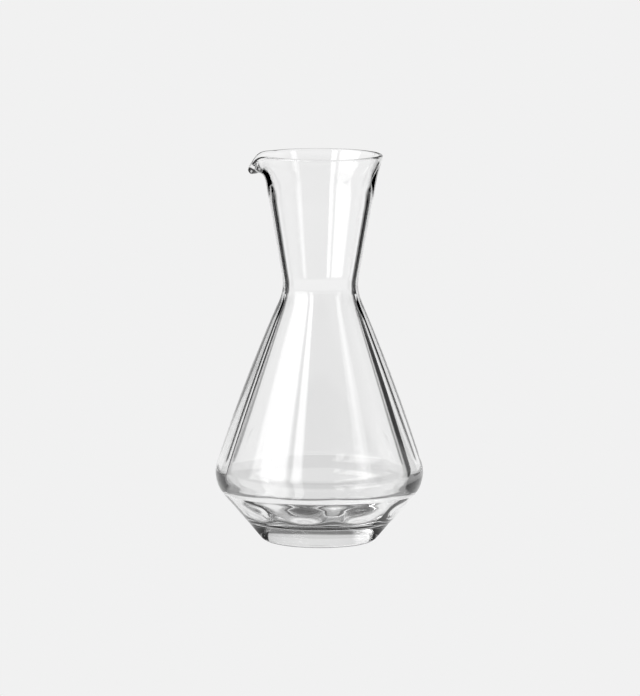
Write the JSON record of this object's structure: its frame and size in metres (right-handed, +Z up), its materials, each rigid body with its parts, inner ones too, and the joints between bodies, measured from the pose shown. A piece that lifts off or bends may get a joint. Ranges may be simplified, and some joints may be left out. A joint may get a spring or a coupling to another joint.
{
  "type": "glass carafe",
  "caption": "Clear thick-walled glass carafe with a flared neck, pinched waist, conical belly, optic panels inside, heavy foot and a pulled pouring lip.",
  "frame": {"origin": "on the axis of the foot, in the plane that it stands on", "axes": "+Z up along the axis of the turned body, -X towards the pouring lip, +Y away from the viewer with the lip at the left"},
  "size_m": [0.1342, 0.1342, 0.25],
  "materials": {
    "clear_glass": "clear colourless glass, fire-polished and glossy inside and out"
  },
  "bodies": {
    "root": {"carafe_glass": "clear_glass"}
  },
  "joints": []
}
